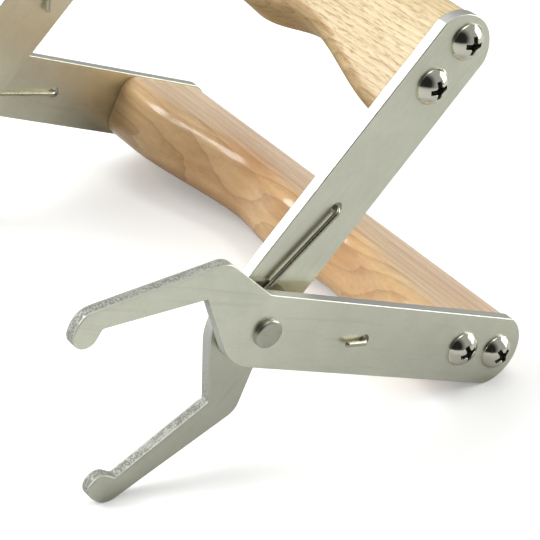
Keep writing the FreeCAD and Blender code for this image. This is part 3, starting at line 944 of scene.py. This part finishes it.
def pale_floor(stage):
    """Pale floor, near white to the camera and a little darker to the light that reaches the object."""
    size = 3.0
    mesh = bpy.data.meshes.new("floor")
    corners = [(-size, -size, 0), (size, -size, 0), (size, size, 0), (-size, size, 0)]
    mesh.from_pydata(corners, [], [(0, 1, 2, 3)])
    plane = bpy.data.objects.new("floor", mesh)
    bpy.context.scene.collection.objects.link(plane)
    pale = tuple(stage.floor)
    material, tree, shader = new_material("Pale floor", pale)
    seen = put(tree, "ShaderNodeLightPath").outputs["Is Camera Ray"]
    unseen = [stage.bounce * c for c in pale]
    tree.links.new(mix_colour(tree, seen, unseen, pale), shader.inputs["Base Color"])
    shader.inputs["Roughness"].default_value = 0.9
    shader.inputs["Specular IOR Level"].default_value = 0.1
    shader.inputs["Emission Color"].default_value = (*pale, 1.0)
    tree.links.new(math_node(tree, "MULTIPLY", seen, stage.glow), shader.inputs["Emission Strength"])
    wear(plane, material)


def studio_world(stage):
    """Even surroundings with a dark opening in front and to the left, for the bright metal to mirror."""
    world = bpy.data.worlds.new("Studio")
    world.use_nodes = True
    tree = world.node_tree
    sky = tree.nodes["Background"]
    sky.inputs["Color"].default_value = (1.0, 1.0, 1.0, 1.0)
    way = put(tree, "ShaderNodeTexCoord").outputs["Generated"]
    opening = (-0.68, -0.68, 0.27)
    front = put(tree, "ShaderNodeVectorMath", {0: way, 1: opening}, operation="DOT_PRODUCT")
    open_dark = span(tree, front.outputs["Value"], 0.52, 0.84, 1.0, 0.05)
    seen = put(tree, "ShaderNodeLightPath").outputs["Is Camera Ray"]
    level = math_node(tree, "MAXIMUM", math_node(tree, "MULTIPLY", open_dark, stage.world), seen)
    tree.links.new(level, sky.inputs["Strength"])
    bpy.context.scene.world = world


class FRAMEGRIP_OT_stage(bpy.types.Operator):
    """Set out the pale floor, the soft lights and the camera"""
    bl_idname = "framegrip.stage"
    bl_label = "Stage"

    def execute(self, context):
        scene = context.scene
        stage = scene.frame_grip_stage
        scene.view_settings.view_transform = "Standard"
        pale_floor(stage)
        studio_world(stage)
        soft_light("Key", (-0.75, 0.55, 0.75), (0, 0, 0.04), (0.7, 0.7), 12.0)
        soft_light("Right card", (0.95, -0.35, 0.35), (0, 0, 0.05), (0.55, 0.6), 4.5)
        soft_light("Overhead", (0.1, 0.1, 1.2), (0, 0, 0.03), (0.8, 0.8), 5.0)
        camera = bpy.data.cameras.new("Camera")
        camera.lens = stage.lens
        camera.sensor_width = 36.0
        camera.clip_start = 0.01
        holder = bpy.data.objects.new("Camera", camera)
        scene.collection.objects.link(holder)
        a, e = stage.azimuth, stage.elevation
        back = (math.sin(a) * math.cos(e), -math.cos(a) * math.cos(e), math.sin(e))
        holder.matrix_world = look_matrix(tuple(stage.place), back, stage.roll)
        scene.camera = holder
        return {"FINISHED"}


class FRAMEGRIP_PT_panel(bpy.types.Panel):
    """Lists the pieces of the frame grip"""
    bl_idname = "FRAMEGRIP_PT_panel"
    bl_label = "Frame grip"
    bl_space_type = "VIEW_3D"
    bl_region_type = "UI"
    bl_category = "Frame grip"

    def draw(self, context):
        for operator in OPERATORS:
            self.layout.operator(operator.bl_idname)


GROUPS = {
    "frame_grip_steel": FrameGripSteel,
    "frame_grip_wood": FrameGripWood,
    "frame_grip_screw": FrameGripScrew,
    "frame_grip_pivot": FrameGripPivot,
    "frame_grip_spring": FrameGripSpring,
    "frame_grip_stage": FrameGripStage,
}
OPERATORS = (
    FRAMEGRIP_OT_arms,
    FRAMEGRIP_OT_grips,
    FRAMEGRIP_OT_screws,
    FRAMEGRIP_OT_pivots,
    FRAMEGRIP_OT_springs,
    FRAMEGRIP_OT_stage,
)


def register():
    for name, group in GROUPS.items():
        bpy.utils.register_class(group)
        setattr(bpy.types.Scene, name, PointerProperty(type=group))
    for operator in OPERATORS:
        bpy.utils.register_class(operator)
    bpy.utils.register_class(FRAMEGRIP_PT_panel)


def unregister():
    bpy.utils.unregister_class(FRAMEGRIP_PT_panel)
    for operator in reversed(OPERATORS):
        bpy.utils.unregister_class(operator)
    for name, group in reversed(GROUPS.items()):
        delattr(bpy.types.Scene, name)
        bpy.utils.unregister_class(group)


def main():
    register()
    bpy.ops.framegrip.arms()
    bpy.ops.framegrip.grips()
    bpy.ops.framegrip.screws()
    bpy.ops.framegrip.pivots()
    bpy.ops.framegrip.springs()
    bpy.ops.framegrip.stage()


if __name__ == "__main__":
    main()
